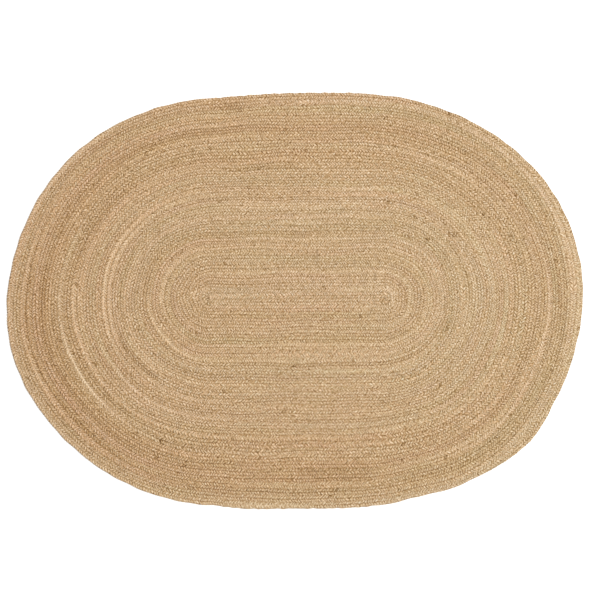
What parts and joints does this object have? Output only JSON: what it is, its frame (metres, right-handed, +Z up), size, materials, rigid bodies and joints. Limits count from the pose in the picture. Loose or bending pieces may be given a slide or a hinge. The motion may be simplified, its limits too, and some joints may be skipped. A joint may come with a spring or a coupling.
{
  "type": "jute rug",
  "caption": "Flat oval floor rug of braided jute, coiled from the middle and sewn edge to edge, with a tapered outer end tucked into the rim.",
  "frame": {"origin": "middle of the rug's bounding box, on the floor under its flat underside", "axes": "+X along the rug's length, +Y across it, +Z up from the floor"},
  "size_m": [2.3044, 1.6652, 0.01],
  "materials": {
    "jute": "natural undyed jute, plaited, matt and fibrous"
  },
  "bodies": {
    "root": {"rug": "jute"}
  },
  "joints": []
}
